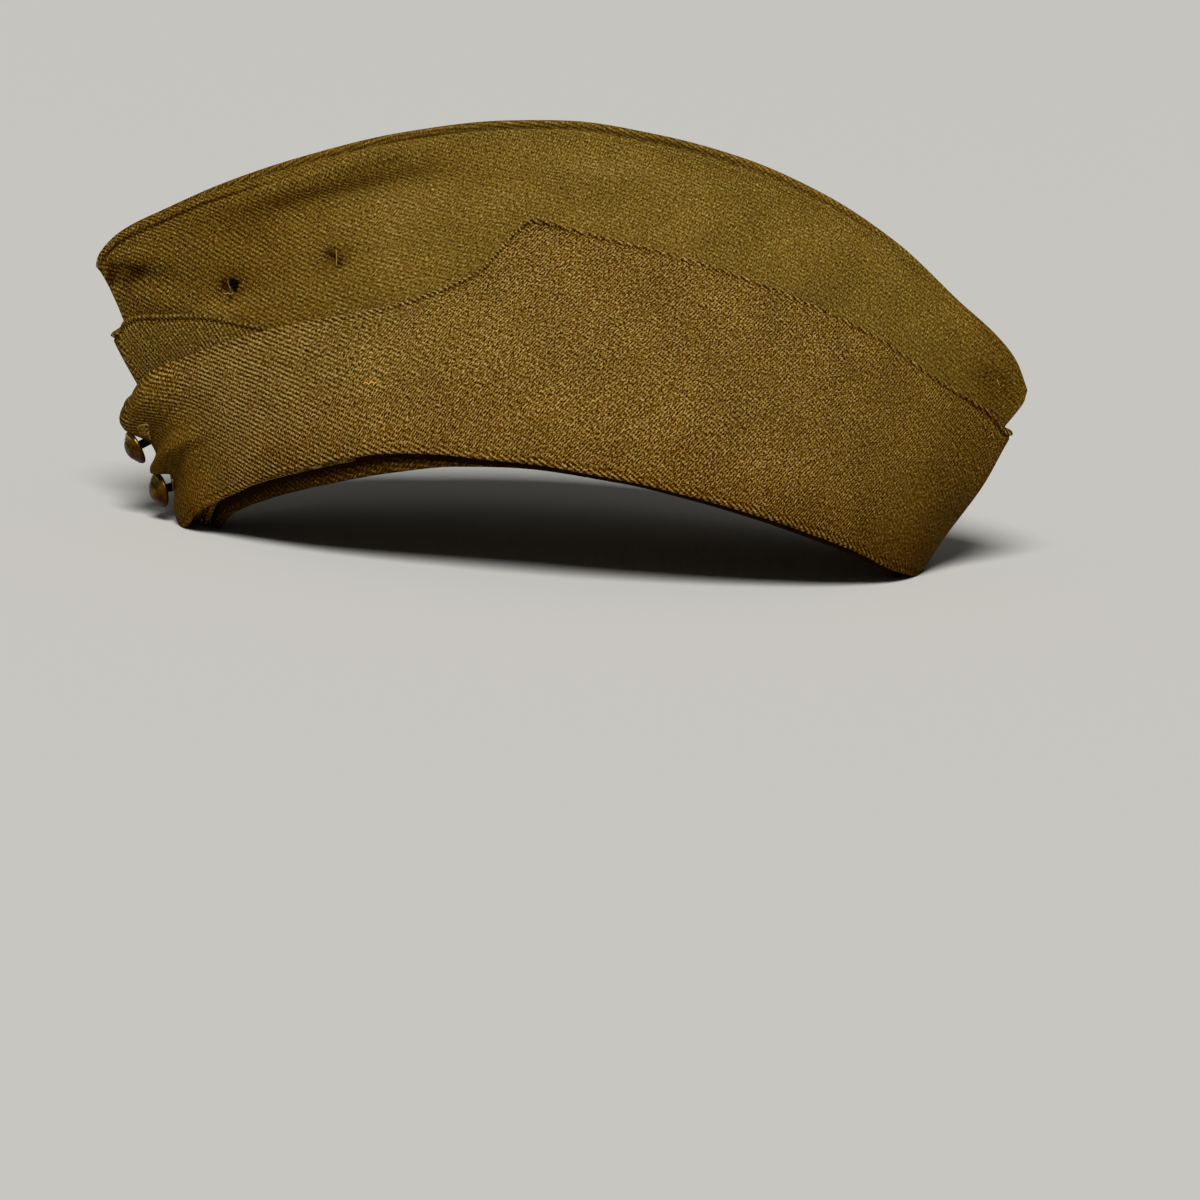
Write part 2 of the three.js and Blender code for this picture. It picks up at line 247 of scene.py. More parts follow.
def from_borders(grid):
    """Distances in millimetres from the lower, the upper and the two end borders of a grid."""
    up = np.cumsum(np.linalg.norm(np.diff(grid, axis=1, prepend=grid[:, :1]), axis=-1), axis=1)
    on = np.cumsum(np.linalg.norm(np.diff(grid, axis=0, prepend=grid[:1]), axis=-1), axis=0)
    return up, up[:, -1:] - up, on, on[-1:] - on


def sheet(name, outer, inner, cloth, keep=None, **marks):
    """A closed piece between two grids of points in millimetres. Cells that aren't kept are
    left open, and a wall joins the two grids along every edge of what is kept. Marks are
    amounts at the grid's points, which the material reads."""
    columns, rows = outer.shape[:2]
    if keep is None:
        keep = np.ones((columns - 1, rows - 1), bool)
    front = np.arange(columns * rows).reshape(columns, rows)
    back = front + columns * rows
    a, b, c, d = front[:-1, :-1], front[1:, :-1], front[1:, 1:], front[:-1, 1:]
    faces = [np.stack([a, b, c, d], -1)[keep]]
    faces.append(np.stack([d, c, b, a], -1)[keep] + columns * rows)
    held = np.pad(keep, 1)
    below, above = held[1:-1, :-1], held[1:-1, 1:]
    edge = np.stack([front[:-1], front[1:], back[1:], back[:-1]], -1)
    faces.append(edge[above & ~below][:, ::-1])
    faces.append(edge[below & ~above])
    left, right = held[:-1, 1:-1], held[1:, 1:-1]
    edge = np.stack([front[:, :-1], front[:, 1:], back[:, 1:], back[:, :-1]], -1)
    faces.append(edge[right & ~left])
    faces.append(edge[left & ~right][:, ::-1])
    points = np.concatenate([outer.reshape(-1, 3), inner.reshape(-1, 3)])
    cloth = np.tile(cloth.reshape(-1, 2), (2, 1))
    marks = {mark: np.tile(amount.ravel(), 2) for mark, amount in marks.items()}
    return piece(name, points, np.concatenate(faces), cloth, marks)


def piece(name, points, faces, cloth=None, marks=None):
    """A smooth mesh object from points in millimetres and four-cornered faces, turned to point
    outwards by the sign of its volume, with points that coincide made one."""
    corner = points[faces]
    volume = (corner[:, 0] * np.cross(corner[:, 1], corner[:, 2])).sum()
    volume += (corner[:, 0] * np.cross(corner[:, 2], corner[:, 3])).sum()
    if volume < 0:
        faces = faces[:, ::-1]
    mesh = bpy.data.meshes.new(name)
    mesh.from_pydata((points / 1000).tolist(), [], faces.tolist())
    if cloth is not None:
        layer_uv = mesh.uv_layers.new(name="cloth")
        layer_uv.data.foreach_set("uv", cloth[faces.ravel()].astype(np.float32).ravel())
    for mark, amount in (marks or {}).items():
        level = mesh.attributes.new(mark, "FLOAT", "POINT")
        level.data.foreach_set("value", amount.astype(np.float32))
    work = bmesh.new()
    work.from_mesh(mesh)
    bmesh.ops.remove_doubles(work, verts=work.verts, dist=2e-6)
    work.to_mesh(mesh)
    work.free()
    mesh.polygons.foreach_set("use_smooth", np.ones(len(mesh.polygons), bool))
    made = bpy.data.objects.new(name, mesh)
    bpy.context.scene.collection.objects.link(made)
    return made


def colour(text):
    """An sRGB hex colour as the linear values that Blender mixes."""
    part = np.array([int(text[k : k + 2], 16) for k in (0, 2, 4)]) / 255
    linear = np.where(part <= 0.04045, part / 12.92, ((part + 0.055) / 1.055) ** 2.4)
    return (*linear.tolist(), 1.0)


def add(tree, kind, feeds=None, stops=(), **settings):
    """Adds a node with its settings and colour stops, and feeds its inputs with values or with
    what other nodes put out."""
    node = tree.nodes.new("ShaderNode" + kind)
    for key, value in settings.items():
        setattr(node, key, value)
    for number, (place, text) in enumerate(stops):
        # A new ramp comes with two stops
        elements = node.color_ramp.elements
        element = elements[number] if number < 2 else elements.new(1)
        element.position = place
        element.color = colour(text)
    for key, value in (feeds or {}).items():
        source = value.outputs[0] if isinstance(value, bpy.types.Node) else value
        if isinstance(source, bpy.types.NodeSocket):
            tree.links.new(source, node.inputs[key])
        else:
            node.inputs[key].default_value = source
    return node


# Wool serge, woven as a two-and-two twill and piece dyed khaki. Warp threads 0.35 mm apart lie
# over two wefts and under two, 0.69 mm apart, and each steps one weft to the side, which gives
# the eye soft diagonal lines 1.2 mm apart, crossed by beads where the wefts show. The raised
# nap hides the lines in places. The hollows between them are painted a darker red brown as
# painted shade, and the tops of the threads paler as painted highlight. It reads four marks:
# nap, how deep the weave shows; wale, how much of that is diagonal lines; faded, how far light
# has turned it from brown to green; and the dirt and painted light mark, how much dirt and
# painted shade darken it, or, below nought, how much a painted highlight lightens it.
WARP_PITCH, WEFT_PITCH = 0.345, 0.69
HALF_GREY = (0.5, 0.5, 0.5)
serge = bpy.data.materials.new("wool_serge_khaki")
serge.use_nodes = True
tree = serge.node_tree
tree.nodes.clear()
cloth_uv = add(tree, "UVMap", uv_map="cloth")
# The threads drift over a centimetre and shake over a millimetre
drift = add(tree, "TexNoise", {"Vector": cloth_uv, "Scale": 0.11, "Detail": 2.0})
drift = add(tree, "VectorMath", {0: drift.outputs["Color"], 1: HALF_GREY}, operation="SUBTRACT")
drift = add(tree, "VectorMath", {0: drift, "Scale": 0.8}, operation="SCALE")
shake = add(tree, "TexNoise", {"Vector": cloth_uv, "Scale": 0.8, "Detail": 2.0})
shake = add(tree, "VectorMath", {0: shake.outputs["Color"], 1: HALF_GREY}, operation="SUBTRACT")
shake = add(tree, "VectorMath", {0: shake, "Scale": 0.36}, operation="SCALE")
place = add(tree, "VectorMath", {0: cloth_uv, 1: drift}, operation="ADD")
place = add(tree, "VectorMath", {0: place, 1: shake}, operation="ADD")
split = add(tree, "SeparateXYZ", {0: place})
weft = add(tree, "Math", {0: split.outputs[0], 1: WEFT_PITCH}, operation="DIVIDE")
warp = add(tree, "Math", {0: split.outputs[1], 1: WARP_PITCH}, operation="DIVIDE")
warp_count = add(tree, "Math", {0: warp}, operation="FLOOR")
# A float is half a wave four wefts long, moved on by one weft from warp thread to warp thread,
# partly in a step and partly evenly, since the threads lie aslant there
stepped = add(tree, "Math", {0: warp, 1: -0.55, 2: 0.28}, operation="MULTIPLY_ADD")
stepped = add(tree, "Math", {0: warp_count, 1: -0.45, 2: stepped}, operation="MULTIPLY_ADD")
step = add(tree, "Math", {0: weft, 1: stepped}, operation="SUBTRACT")
step = add(tree, "Math", {0: step, 1: np.pi / 2}, operation="MULTIPLY")
step = add(tree, "Math", {0: step}, operation="SINE")
over = add(tree, "Math", {0: step, 1: 0.5, 2: 0.5}, operation="MULTIPLY_ADD")
under = add(tree, "Math", {0: 1.0, 1: over}, operation="SUBTRACT")
# The wefts between the floats show as beads, which line up along the other diagonal
rib = add(tree, "Math", {0: warp, 1: -np.pi / 2}, operation="MULTIPLY")
rib = add(tree, "Math", {0: weft, 1: 1.5 * np.pi, 2: rib}, operation="MULTIPLY_ADD")
rib = add(tree, "Math", {0: rib}, operation="COSINE")
thread = add(tree, "Math", {0: warp, 1: np.pi}, operation="MULTIPLY")
thread = add(tree, "Math", {0: thread}, operation="SINE")
thread = add(tree, "Math", {0: thread}, operation="ABSOLUTE")
thread = add(tree, "Math", {0: thread, 1: 0.3, 2: 0.6}, operation="MULTIPLY_ADD")
top = add(tree, "Math", {0: over, 1: thread}, operation="MULTIPLY")
bead = add(tree, "Math", {0: under, 1: 0.24, 2: 0.06}, operation="MULTIPLY_ADD")
bead = add(tree, "Math", {0: bead, 1: rib}, operation="MULTIPLY")
faded = add(tree, "Attribute", attribute_name="faded")
milled = add(tree, "Math", {0: faded.outputs["Fac"], 1: -0.5, 2: 1.0}, operation="MULTIPLY_ADD")
wale = add(tree, "Attribute", attribute_name="wale")
plain = add(tree, "Math", {0: 1.3, 1: wale.outputs["Fac"]}, operation="SUBTRACT")
milled = add(tree, "Math", {0: milled, 1: plain}, operation="MULTIPLY")
bead = add(tree, "Math", {0: bead, 1: milled}, operation="MULTIPLY")
# Raised nap covers the threads here and there, in clouds some millimetres wide. A map range
# takes a value, the two ends of the range it comes from and the two of the one it goes to
cloud = add(tree, "TexNoise", {"Vector": cloth_uv, "Scale": 0.22, "Detail": 3.0, "Roughness": 0.6})
nap = add(tree, "Attribute", attribute_name="nap")
bare_amount = add(tree, "MapRange", {0: cloud, 1: 0.25, 2: 0.75, 3: 0.25, 4: 1.25})
bare_amount = add(tree, "Math", {0: bare_amount, 1: wale.outputs["Fac"]}, operation="MULTIPLY")
weave = add(tree, "Math", {0: top, 1: 0.38}, operation="SUBTRACT")
weave = add(tree, "Math", {0: weave, 1: bare_amount, 2: bead}, operation="MULTIPLY_ADD")
# Clumps of fibres 0.7 mm across with finer ones in them, and yarns that are thicker and
# thinner by turns
fuzz = add(tree, "TexNoise", {"Vector": cloth_uv, "Scale": 1.45, "Detail": 3.0, "Roughness": 0.75})
fuzz = add(tree, "Math", {0: fuzz, 1: 0.5}, operation="SUBTRACT")
slub_map = add(
    tree,
    "Mapping",
    {"Vector": place, "Rotation": (0, 0, 0.98), "Scale": (1.15, 0.42, 1.0)},
    vector_type="TEXTURE",
)
slub = add(tree, "TexNoise", {"Vector": slub_map, "Scale": 1.0, "Detail": 3.0, "Roughness": 0.65})
slub = add(tree, "Math", {0: slub, 1: 0.5}, operation="SUBTRACT")
height = add(tree, "Math", {0: fuzz, 1: 2.4, 2: weave}, operation="MULTIPLY_ADD")
height = add(tree, "Math", {0: slub, 1: 2.3, 2: height}, operation="MULTIPLY_ADD")
height = add(tree, "Math", {0: height, 1: nap.outputs["Fac"]}, operation="MULTIPLY")
# Dirt and painted shade lower the level on the ramp, and painted highlights below nought raise it
soil_and_painted_light = add(tree, "Attribute", attribute_name="soil_and_painted_light")
level = add(tree, "Math", {0: height, 1: 0.5}, operation="ADD")
level = add(tree, "Math", {0: level, 1: soil_and_painted_light.outputs["Fac"]}, operation="SUBTRACT")
# The ramp turns the weave's height into colour: darker in the hollows as painted shade, paler on
# the tops as painted highlight
dye = add(
    tree,
    "ValToRGB",
    {0: level},
    stops=((0.0, "200e02"), (0.25, "3e2605"), (0.5, "5f460d"), (0.75, "7f6529"), (1.0, "a98d56")),
)
# The dye has faded unevenly, greener in some places and browner in others
patch = add(tree, "TexNoise", {"Vector": cloth_uv, "Scale": 0.045, "Detail": 4.0, "Roughness": 0.6})
worn = add(tree, "MapRange", {0: patch, 1: 0.3, 2: 0.7, 3: 0.82, 4: 1.16})
turned = add(tree, "MapRange", {0: cloud, 1: 0.3, 2: 0.7, 3: 0.491, 4: 0.505})
turned = add(tree, "Math", {0: faded.outputs["Fac"], 1: 0.008, 2: turned}, operation="MULTIPLY_ADD")
paled = add(tree, "Math", {0: faded.outputs["Fac"], 1: -0.024, 2: 1.0}, operation="MULTIPLY_ADD")
tone = add(tree, "HueSaturation", {"Hue": turned, "Saturation": paled, "Value": worn, "Color": dye})
relief = add(tree, "Bump", {"Height": height, "Strength": 1.0, "Distance": 0.00012})
skin = add(
    tree,
    "BsdfPrincipled",
    {
        "Base Color": tone,
        "Normal": relief,
        "Roughness": 0.88,
        "Specular IOR Level": 0.01,
        "Sheen Weight": 0.004,
        "Sheen Roughness": 0.45,
        "Sheen Tint": colour("d8bd80"),
    },
)
add(tree, "OutputMaterial", {0: skin})

# Holes of the left panel: turn, share, radius across and up, and how ragged the edge is
HOLES = [(39.9, 0.693, 1.8, 2.2, 0.3), (57.7, 0.693, 0.6, 1.0, 0.35)]
# Stains round the holes, painted shade in the crease by the nose and in the hollow below the
# ridge, and painted highlights on swells, which are entries below nought: turn, share, their
# widths and how dark
STAINS_AND_PAINTED_LIGHT = [
    (39.9, 0.693, 3.5, 0.04, 0.2), (38.3, 0.7, 0.9, 0.016, 0.5), (38.7, 0.657, 0.6, 0.01, 0.35),
    (57.7, 0.693, 3, 0.035, 0.14), (57.1, 0.705, 0.6, 0.014, 0.4), (58.1, 0.674, 0.6, 0.014, 0.4),
    (6, 0.925, 5, 0.028, 0.45), (15, 0.866, 6, 0.028, 0.3), (33, 0.63, 16, 0.04, -0.1),
    (54, 0.91, 9, 0.035, 0.16), (50, 0.965, 12, 0.015, -0.15),
    (67, 0.91, 8, 0.03, 0.1), (89, 0.915, 10, 0.035, -0.1),
]
# The curtain's lower edge, which the panels stand out below: turn and share
CURTAIN_LOW = [
    (-12, 0.056), (0, 0.048), (10, 0.042), (27, 0.046), (41, 0.062), (59, 0.064), (71, 0.04),
    (78, 0.024), (83, 0.018), (87, 0.016), (93, 0.012), (106, 0.01), (130, 0.01), (150, 0.012),
    (166, 0.03), (180, 0.05),
]
# The panel's grid: columns round the rim, rows of the rolled edge, and rows up to the ridge,
# which lie closer at their upper end
COLUMNS, ROLL_ROWS = 281, 11
PANEL_ROWS = np.concatenate([np.linspace(0, 0.93, 96), np.linspace(0.93, 1, 19)[1:]])
ROWS = len(PANEL_ROWS)


def opened(side, turn, share, keep, hole):
    """Opens a block of six by six cells and draws its square edge in to the ragged round of the
    hole, in rings that blend back into the grid twelve cells out."""
    hole_turn, hole_share, wide, tall, ragged = hole
    i0, j0 = round(hole_turn / 180 * (COLUMNS - 1)), np.abs(PANEL_ROWS - hole_share).argmin()
    rise = 0.01
    near = body(side, hole_turn + np.array([0, 1, 0]), hole_share + np.array([0, 0, rise]))
    per_degree = np.linalg.norm(near[1] - near[0])
    per_share = np.linalg.norm(near[2] - near[0]) / rise
    i, j = np.meshgrid(np.arange(turn.shape[0]) - i0, np.arange(turn.shape[1]) - j0, indexing="ij")
    ring = np.maximum(np.abs(i), np.abs(j)) / 3
    bearing = np.arctan2(j, i)
    waves = 0.5 * np.sin(3 * bearing + 1) + 0.35 * np.sin(7 * bearing)
    waves += 0.3 * np.sin(11 * bearing + 2)
    reach = ring * (1 + ragged * waves)
    pull = (1 - ease(ring, 1, 4)) * (ring > 0)
    turn = mix(turn, hole_turn + reach * wide * np.cos(bearing) / per_degree, pull)
    share = mix(share, hole_share + reach * tall * np.sin(bearing) / per_share, pull)
    inside = ring <= 1
    gone = inside[:-1, :-1] & inside[1:, :-1] & inside[1:, 1:] & inside[:-1, 1:]
    return turn, share, keep & ~gone


def roll_radius(turn):
    """Radius of the rolled seam edge along the ridge, drawn in where the two ridges meet."""
    half = np.abs(body(1, turn, np.ones_like(turn))[..., 1])
    return np.minimum(RIDGE_ROLL, 0.42 * half)


for side, name in ((-1, "left"), (1, "right")):
    rows = np.concatenate([PANEL_ROWS, np.ones(ROLL_ROWS)])
    turn, share = np.meshgrid(np.linspace(0, 180, COLUMNS), rows, indexing="ij")
    keep = np.ones((COLUMNS - 1, ROWS + ROLL_ROWS - 1), bool)
    for hole in HOLES if side < 0 else []:
        turn, share, keep = opened(side, turn, share, keep, hole)
    bare = body(side, turn, share)
    out = outward(side, turn, share)
    _, high, first, last = from_borders(bare)
    # Grooves 0.4 mm deep at the end seams and at the ridge seam, which lies 1.9 mm below the
    # edge and has its allowance pressed flat above it, and a low swell below it
    ridge_seam = np.exp(-(((high - 1.9) / 0.45) ** 2)) * (1 - 0.85 * ease(turn, 40, 54))
    seam = -0.4 * (np.exp(-((first / 0.6) ** 2)) + np.exp(-((last / 0.6) ** 2))) - 0.4 * ridge_seam
    swell = 0.25 * np.exp(-(((high - 3.4) / 1.1) ** 2))
    # Dents die out just below the ridge and never reach across the middle
    dents = dented(side, bare) * ease(1 - share, 0, 0.05)
    dents = np.maximum(dents, -0.5 * np.abs(bare[..., 1]))
    depth = dents - pinched(turn, share) + seam + swell
    # The upper edge rolls over inwards: a centre one radius in, an arc of 180 degrees, and then
    # a fall straight down
    radius = roll_radius(turn)
    below = body(side, turn[:, ROWS - 1], np.full(COLUMNS, 0.97))
    up = unit(bare[:, ROWS - 1] - below)[:, None]
    sunk = radius * (1 - out[..., 2]) * ease(share, 0.9, 1)
    if side < 0:
        sunk += through(LEFT_HANGS, turn) * ease(share, 0.86, 1)
    thick = mix(PLY, 0.75 * radius, ease(share, 0.96, 1))
    arc = np.concatenate([np.zeros(ROWS), np.pi * np.arange(1, ROLL_ROWS + 1) / (ROLL_ROWS - 2)])
    fall = np.maximum(arc - np.pi, 0) * (ROLL_ROWS - 2) / np.pi / 2
    arc = np.minimum(arc, np.pi)
    spoke = out * np.cos(arc)[:, None] + up * np.sin(arc)[:, None]
    sunk = sunk + fall * RIDGE_FALL * radius / RIDGE_ROLL
    centre = bare + (depth - radius)[..., None] * out - sunk[..., None] * np.array([0, 0, 1.0])
    outer = rested(centre + radius[..., None] * spoke)
    inner = rested(centre + (radius - thick)[..., None] * spoke)
    # Neither side crosses the middle, and the outer face keeps clear of the inner one there
    clear = 0.4 * (1 - np.exp(-first / 0.5)) * (1 - np.exp(-last / 0.5))
    outer[..., 1] = side * np.maximum(clear, side * outer[..., 1])
    inner[..., 1] = side * np.maximum(0, side * inner[..., 1])
    cloth = cloth_at(
        side, turn, share, lift=(0, 0), base=0.78, grain=11, eased=0, swing=(21, 44, 92)
    )
    cloth[..., 1] += radius * (arc + fall * RIDGE_FALL / RIDGE_ROLL)
    nap = 0.82 - 0.12 * ease(turn, 22, 40) - 0.1 * ease(turn, 130, 160)
    # Darker marks: a band at the rim, partly sweat stain and partly painted shade under the
    # curtain;
    # painted shade in the seam groove and in the hollows of the dents; and painted shade towards
    # both ends, where they turn away from the light
    soil_and_painted_light = 0.35 * (1 - ease(share, 0.03, 0.12)) + 0.4 * ridge_seam + 0.05 * np.maximum(0, -dents)
    soil_and_painted_light += 0.12 * (1 - ease(turn, 40, 70)) + 0.12 * ease(turn, 140, 170)
    # A painted shadow on the panel just below the curtain's lower edge
    under = share - through(CURTAIN_LOW, turn)
    soil_and_painted_light += 0.5 * ease(under, -0.03, -0.004) * (1 - ease(under, 0.1, 0.2))
    # Real stains round the holes, painted shade in the crease and below the ridge, and painted
    # highlights on the swells
    for spot_turn, spot_share, wide, tall, dark in STAINS_AND_PAINTED_LIGHT if side < 0 else []:
        off = np.hypot((turn - spot_turn) / wide, (share - spot_share) / tall)
        soil_and_painted_light += dark * np.exp(-(off**2))
    # The ends and the rolled top of the ridge are browner than the rest, which light has faded
    edge = ease(arc, 0, 0.5) * np.ones_like(turn)
    faded = 1 - np.maximum(0.8 * edge, 0.5 * (1 - ease(turn, 45, 70)) + 0.4 * ease(turn, 135, 165))
    wale = mix(mix(0.75, 0.4, ease(turn, 45, 80)), 0.8, edge)
    marks = {"nap": nap * (1 - 0.15 * edge), "soil_and_painted_light": soil_and_painted_light, "wale": wale, "faded": faded}
    panel = sheet(f"body_{name}", outer, inner, cloth, keep, **marks)
    panel.data.materials.append(serge)
    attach(panel, "root")
    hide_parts(f"side_panel_{name}")

# Frayed threads
# Broken yarns and bits of the brown sewing thread that held the badge, round the two holes.
# They are caught in the cloth of the left panel, and a pale fibre clings to its back end.
thread = bpy.data.materials.new("wool_yarn_frayed")
thread.use_nodes = True
tree = thread.node_tree
tree.nodes.clear()
spot = add(tree, "TexCoord")
twist = add(tree, "TexNoise", {"Vector": spot.outputs["Object"], "Scale": 900.0, "Detail": 3.0})
strand = add(tree, "Attribute", attribute_name="dye")
tint = add(tree, "Math", {0: twist, 1: 0.5, 2: strand.outputs["Fac"]}, operation="MULTIPLY_ADD")
yarn = add(
    tree,
    "ValToRGB",
    {0: tint},
    stops=((0.15, "3a2408"), (0.45, "6e531c"), (0.75, "a3864c"), (0.9, "a4691a"), (1.0, "c8923e")),
)
relief = add(tree, "Bump", {"Height": twist, "Strength": 0.6, "Distance": 0.0001})
skin = add(
    tree,
    "BsdfPrincipled",
    {"Base Color": yarn, "Normal": relief, "Roughness": 0.85, "Specular IOR Level": 0.05},
)
add(tree, "OutputMaterial", {0: skin})


def ring_faces(rings, sides):
    """Four-cornered faces between rings of points that follow one another."""
    count = np.arange(rings * sides).reshape(-1, sides)
    turned = np.roll(count, -1, axis=1)
    return np.stack([count[:-1], count[1:], turned[1:], turned[:-1]], -1).reshape(-1, 4)


def tube(path, radius, facing, sides=8):
    """Points and faces of a tube: round each path point a ring at right angles to the path,
    its first spoke as near as can be to the way that the cloth faces."""
    ahead = unit(np.gradient(path, axis=0))
    across = unit(np.cross(ahead, facing))
    upward = np.cross(across, ahead)
    bearing = np.linspace(0, 2 * np.pi, sides + 1)[:-1]
    ring = np.cos(bearing)[:, None] * upward[:, None] + np.sin(bearing)[:, None] * across[:, None]
    points = path[:, None] + radius[:, None, None] * ring
    return points.reshape(-1, 3), ring_faces(len(path), sides)


def strands(name, surface, rows):
    """Yarns that lie on a surface: each has a start, middle and end in turn and share, how high
    its middle stands, its radius and its dye. The path is a parabola through them."""
    points, faces, dyes = [], [], []
    for start, middle, end, stand, radius, dye in rows:
        t = np.linspace(0, 1, 14)
        bow = 4 * t * (1 - t)
        start, middle, end = np.array(start), np.array(middle), np.array(end)
        place = start + (end - start) * t[:, None] + bow[:, None] * (middle - (start + end) / 2)
        facing = outward(-1, place[:, 0], place[:, 1])
        path = surface(place[:, 0], place[:, 1]) + (0.05 + stand * bow)[:, None] * facing
        thick = radius * np.sqrt(np.clip(1 - (2 * t - 1) ** 8, 0, 1))
        made, quads = tube(path, thick, facing)
        faces.append(quads + sum(len(group) for group in points))
        points.append(made)
        dyes.append(np.full(len(made), dye))
    marks = {"dye": np.concatenate(dyes)}
    yarns = piece(name, np.concatenate(points), np.concatenate(faces), None, marks)
    yarns.data.materials.append(thread)
    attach(yarns, "root")
    return yarns


def panel_face(turn, share):
    """The left panel's outer face with its dents."""
    bare = body(-1, turn, share)
    return bare + dented(-1, bare)[:, None] * outward(-1, turn, share)


frays = strands(
    "badge_hole_threads",
    panel_face,
    [
        ((39.2, 0.714), (39.0, 0.7), (39.2, 0.68), 0.1, 0.13, 0.2),
        ((37.6, 0.68), (38.0, 0.672), (38.7, 0.674), 0.15, 0.15, 0.56),
        ((38.5, 0.674), (39.0, 0.665), (39.4, 0.669), 0.15, 0.14, 0.4),
        ((40.0, 0.724), (40.2, 0.716), (40.6, 0.722), 0.1, 0.1, 0.1),
        ((58.0, 0.716), (57.9, 0.692), (57.6, 0.662), 0.12, 0.12, 0.35),
        ((57.0, 0.716), (57.3, 0.710), (57.7, 0.714), 0.1, 0.1, 0.1),
        ((162.8, 0.868), (163.7, 0.861), (164.7, 0.86), 0.1, 0.14, 0.55),
    ],
)

# Crown top
# The gusset between the two ridges, folded down its middle so that the cap can lie flat.
# It is the same serge, seamed a little below each ridge.

# Where it ends before the two end seams, in degrees, how deep it hangs in at the side, and how
# blunt the fold is, as a part of the half width
CROWN_END, CROWN_DEPTH, FOLD_BLUNT = 12, 24, 0.14
turns = np.linspace(CROWN_END, 180 - CROWN_END, 241)
turn, part = np.meshgrid(turns, np.linspace(0, 1, 61), indexing="ij")
ridge = body(1, turn, np.ones_like(turn))
radius = roll_radius(turn)
# Its two seams lie inside the rolls of the ridges, at the lower end of their falls
half = ridge[..., 1] - 1.6 * radius
across = 2 * part - 1
start = radius * (0.8 + RIDGE_FALL / RIDGE_ROLL)
depth = CROWN_DEPTH * (ridge[..., 1] / GIRTH[-1][1]) ** 0.7 - start
fold = 1 - np.hypot(across, FOLD_BLUNT) / np.hypot(1, FOLD_BLUNT)
level = ridge[..., 2] - start - through(LEFT_HANGS, turn) * (across < 0) - depth * fold
outer = np.stack([ridge[..., 0], half * across, level], -1)
inner = outer - np.array([0, 0, PLY])
up, _, on, _ = from_borders(outer)
cloth = np.stack([on, up], -1)
even = np.ones_like(turn)
marks = {"nap": 0.8 * even, "soil_and_painted_light": 0.03 * even, "wale": 0.6 * even, "faded": 0.5 * even}
gusset = sheet("crown_top", outer, inner, cloth, **marks)
gusset.data.materials.append(serge)
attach(gusset, "root")
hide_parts("crown_gusset")

# Peak
# A stiffened double piece of the serge, turned up against the front of the crown. Its edge is
# bagged out: a round bead of turned cloth with a pressed groove behind it.

# Its upper edge, turn and share, and the shares of its lower edge at the nose and behind
PEAK_EDGE = [(0, 0.77), (10, 0.752), (24, 0.68), (32, 0.638), (41, 0.557), (48, 0.48), (56, 0.25)]
PEAK_LOW = (0.03, 0.055)
PEAK_PLY = 1.8
# Air between two layers of the cap
LAYER_GAP = 0.6


def rows_towards_edges(count):
    """Places from 0 to 1 that lie closer at both ends: a third even and the rest a cosine."""
    even = np.linspace(0, 1, count)
    return mix((1 - np.cos(np.pi * even)) / 2, even, 0.35)


def bagged(from_edge, thickness, pressed=1):
    """Half thickness and outer relief of a bagged-out edge, by the distance from the edge: a
    half round, then a bead a little proud and a groove 1.8 mm in, by how much it is pressed."""
    round_part = np.clip(from_edge / (thickness / 2), 0, 1)
    half = thickness / 2 * np.sqrt(1 - (1 - round_part) ** 2)
    bead = 0.25 * np.exp(-(((from_edge - 0.8) / 0.5) ** 2)) * round_part
    groove = -0.6 * groove_at(from_edge)
    return half, (bead + groove) * pressed


def groove_at(from_edge):
    """How much of the pressed groove there is: a bell 0.9 mm wide, 1.8 mm from the edge."""
    return np.exp(-(((from_edge - 1.8) / 0.45) ** 2))


def peak_lift(share):
    """Distance of the peak's inner face from the body: it leans out towards its upper edge."""
    return LAYER_GAP + 2.4 * ease(share, 0.22, 0.78)


peak_end = PEAK_EDGE[-1][0]
turns = np.linspace(-peak_end, peak_end, 201)
turn, part = np.meshgrid(turns, rows_towards_edges(61), indexing="ij")
low_edge = mix(*PEAK_LOW, ease(np.abs(turn), 8, 20))
share = mix(low_edge, through(PEAK_EDGE, np.abs(turn)), part)
middle = peak_lift(share) + PEAK_PLY / 2
bare = layer(-1, turn, share, middle)
low, high, first, last = from_borders(bare)
from_edge = np.minimum(np.minimum(low, high), np.minimum(first, last))
half, relief_out = bagged(from_edge, PEAK_PLY)
outer = layer(-1, turn, share, middle + half + relief_out)
inner = layer(-1, turn, share, middle - half)
cloth = cloth_at(-1, turn, share, lift=(3, 3), base=0.6, grain=-13, eased=0, swing=(20, 40, 60))
even = np.ones_like(turn)
# A little darker all over, and painted shade in the pressed groove behind the edge
soil_and_painted_light = 0.08 + 0.3 * groove_at(from_edge)
marks = {"nap": 0.85 * even, "soil_and_painted_light": soil_and_painted_light, "wale": 0.8 * even, "faded": 0.7 * even}
peak = sheet("peak_turned_up", outer, inner, cloth, **marks)
peak.data.materials.append(serge)
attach(peak, "root")
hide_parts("peak")

# Curtain
# The long flaps, turned up round the body and buttoned at the centre front, where the left one
# laps over the right. Double serge with a bagged-out edge, seamed at the centre back.

# The upper edge: turn and share
CURTAIN_TOP = [
    (-12, 0.5), (0, 0.54), (10, 0.536), (27, 0.518), (41, 0.505), (50, 0.495), (59, 0.487),
    (65, 0.503), (71, 0.53), (78, 0.59), (81, 0.656), (83, 0.701), (85, 0.73), (87, 0.724),
    (90, 0.708), (99, 0.69), (118, 0.675), (135, 0.687), (150, 0.708), (166, 0.751), (180, 0.8),
]
